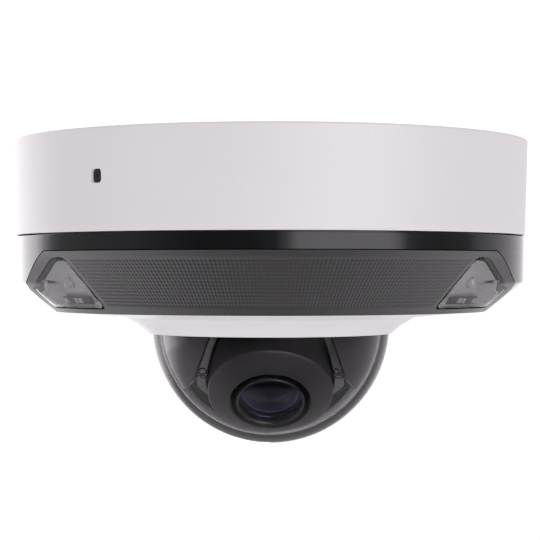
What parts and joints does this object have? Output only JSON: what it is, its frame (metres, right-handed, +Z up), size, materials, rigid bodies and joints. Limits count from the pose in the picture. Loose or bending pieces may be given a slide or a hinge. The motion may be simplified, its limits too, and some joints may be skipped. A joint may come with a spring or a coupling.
{
  "type": "dome surveillance camera",
  "caption": "Compact ceiling dome camera: white housing, black cover with infrared windows, and a clear dome over a lens head that pans, tilts and rolls.",
  "frame": {"origin": "centre of the ceiling face of the mounting plate", "axes": "+Z up, out of the ceiling face into the ceiling; the camera looks towards -Y; +X to the right of someone facing the camera's front"},
  "size_m": [0.122, 0.122, 0.0715],
  "materials": {
    "plate_steel": "zinc-plated, satin",
    "screw_steel": "plain",
    "housing_white": "fine satin moulding",
    "port_rubber": "matt",
    "seal_rubber": "matt",
    "grommet_rubber": "matt",
    "jack_black": "matt",
    "button_rubber": "matt",
    "chip_black": "matt",
    "board_green": "solder mask",
    "sink_aluminium": "extruded",
    "socket_steel": "stamped",
    "cover_gloss_black": "polished",
    "panel_dark_grey": "fine raised grid between smooth borders",
    "window_clear": "polished clear plastic",
    "reflector_grey": "satin",
    "emitter_clear": "polished",
    "dome_clear": "polished clear plastic",
    "gimbal_black": "fine matt",
    "cheek_satin_black": "satin",
    "face_satin_black": "satin",
    "lens_ring_black": "satin anodised",
    "lens_glass": "coated"
  },
  "bodies": {
    "root": {"mounting_plate": "plate_steel", "locking_screw": "screw_steel", "base_housing": "housing_white", "microphone": "port_rubber", "housing_seal": "seal_rubber", "cable_grommet": "grommet_rubber", "network_jack": "jack_black", "reset_switch": "chip_black", "main_board": "board_green", "system_chip": "chip_black", "heat_sink": "sink_aluminium", "card_socket": "socket_steel", "front_cover": "cover_gloss_black", "front_panel": "panel_dark_grey", "window_left": "window_clear", "window_right": "window_clear", "reflector_left": "reflector_grey", "reflector_right": "reflector_grey", "ir_emitter_left": "emitter_clear", "ir_emitter_right": "emitter_clear", "ir_board_left": "board_green", "ir_board_right": "board_green", "trim_ring": "housing_white", "dome_clamp": "plate_steel", "dome_seal": "seal_rubber", "dome_bubble": "dome_clear", "chassis_plate": "plate_steel", "friction_ring": "seal_rubber", "board_screw_1": "screw_steel", "board_screw_2": "screw_steel", "cover_screw_1": "screw_steel", "trim_screw_1": "screw_steel", "chassis_screw_1": "screw_steel", "cover_screw_2": "screw_steel", "trim_screw_2": "screw_steel", "chassis_screw_2": "screw_steel", "cover_screw_3": "screw_steel", "trim_screw_3": "screw_steel", "chassis_screw_3": "screw_steel"},
    "pan": {"pan_base": "gimbal_black", "pan_retainer": "plate_steel", "cheek_left": "cheek_satin_black", "cheek_right": "cheek_satin_black", "yoke_screw_1": "screw_steel", "yoke_screw_2": "screw_steel", "yoke_screw_3": "screw_steel", "yoke_screw_4": "screw_steel"},
    "tilt": {"head_ring": "gimbal_black", "head_rear_cover": "gimbal_black", "tilt_pivot_left": "screw_steel", "tilt_pivot_right": "screw_steel"},
    "roll": {"face_cap": "face_satin_black", "lens_holder": "gimbal_black", "lens_barrel": "gimbal_black", "lens_ring": "lens_ring_black", "front_glass": "lens_glass", "inner_lens": "lens_glass", "sensor_board": "board_green"},
    "button": {"reset_button": "button_rubber"}
  },
  "joints": [
    {"name": "pan", "type": "hinge", "parent": "root", "child": "pan", "pos_m": [0, 0, -0.043], "axis": [0, 0, 1], "range_deg": [-175, 175]},
    {"name": "tilt", "type": "hinge", "parent": "pan", "child": "tilt", "pos_m": [0, 0, -0.043], "axis": [1, 0, 0], "range_deg": [-20, 45]},
    {"name": "lens_roll", "type": "hinge", "parent": "tilt", "child": "roll", "pos_m": [0, 0, -0.043], "axis": [0, -0.7071, -0.7071], "range_deg": [-170, 170]},
    {"name": "reset_press", "type": "slide", "parent": "root", "child": "button", "axis": [0, 0, -1], "range_m": [0, 0.0004], "stiffness_N_per_m": 800}
  ]
}
